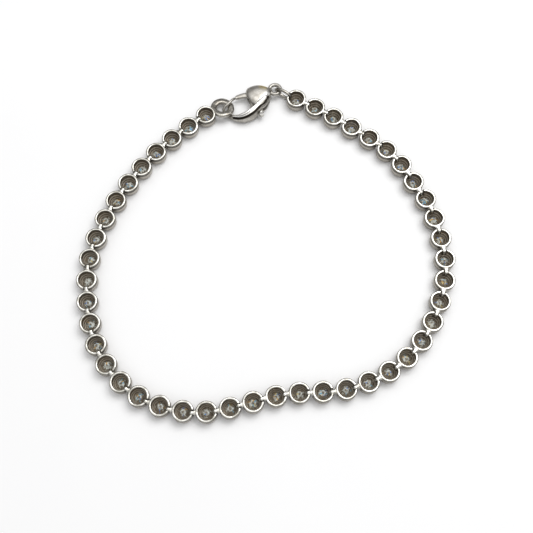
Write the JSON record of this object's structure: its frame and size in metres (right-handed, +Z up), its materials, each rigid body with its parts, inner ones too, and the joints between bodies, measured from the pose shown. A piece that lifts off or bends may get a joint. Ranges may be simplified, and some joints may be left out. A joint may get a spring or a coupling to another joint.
{
  "type": "tennis bracelet",
  "caption": "Closed bracelet of small round rub-over cups, each holding a cut stone and staple-linked to the next, with an end ring, a jump ring and a lobster claw clasp.",
  "frame": {"origin": "middle of the bracelet's footprint box, on the surface that it lies on", "axes": "+Z up, out of the open backs of the cups; +X along the longer side of the lying loop; +Y towards the clasp"},
  "size_m": [0.0642, 0.062, 0.0025],
  "materials": {
    "link_metal": "polished rims, satin walls, darkened inside",
    "clasp_metal": "polished with fine wear",
    "jump_ring_metal": "polished wire",
    "pin_metal": "satin",
    "stone": "faceted and clear"
  },
  "bodies": {
    "bracelet": {"link_01": "link_metal", "link_02": "link_metal", "link_03": "link_metal", "link_04": "link_metal", "link_05": "link_metal", "link_06": "link_metal", "link_07": "link_metal", "link_08": "link_metal", "link_09": "link_metal", "link_10": "link_metal", "link_11": "link_metal", "link_12": "link_metal", "link_13": "link_metal", "link_14": "link_metal", "link_15": "link_metal", "link_16": "link_metal", "link_17": "link_metal", "link_18": "link_metal", "link_19": "link_metal", "link_20": "link_metal", "link_21": "link_metal", "link_22": "link_metal", "link_23": "link_metal", "link_24": "link_metal", "link_25": "link_metal", "link_26": "link_metal", "link_27": "link_metal", "link_28": "link_metal", "link_29": "link_metal", "link_30": "link_metal", "link_31": "link_metal", "link_32": "link_metal", "link_33": "link_metal", "link_34": "link_metal", "link_35": "link_metal", "link_36": "link_metal", "link_37": "link_metal", "link_38": "link_metal", "link_39": "link_metal", "link_40": "link_metal", "link_41": "link_metal", "link_42": "link_metal", "link_43": "link_metal", "link_44": "link_metal", "link_45": "link_metal", "clasp_body": "clasp_metal", "clasp_rivet": "pin_metal", "jump_ring": "jump_ring_metal"},
    "lever": {"clasp_lever": "clasp_metal"}
  },
  "joints": [
    {"name": "lever_pivot", "type": "hinge", "parent": "bracelet", "child": "lever", "pos_m": [-0.00154, 0.02817, 0.00124], "axis": [-0.0151, 0.0315, 0.9994], "range_deg": [0, 32], "stiffness_Nm_per_rad": 0.001, "springref_deg": -34.38}
  ]
}
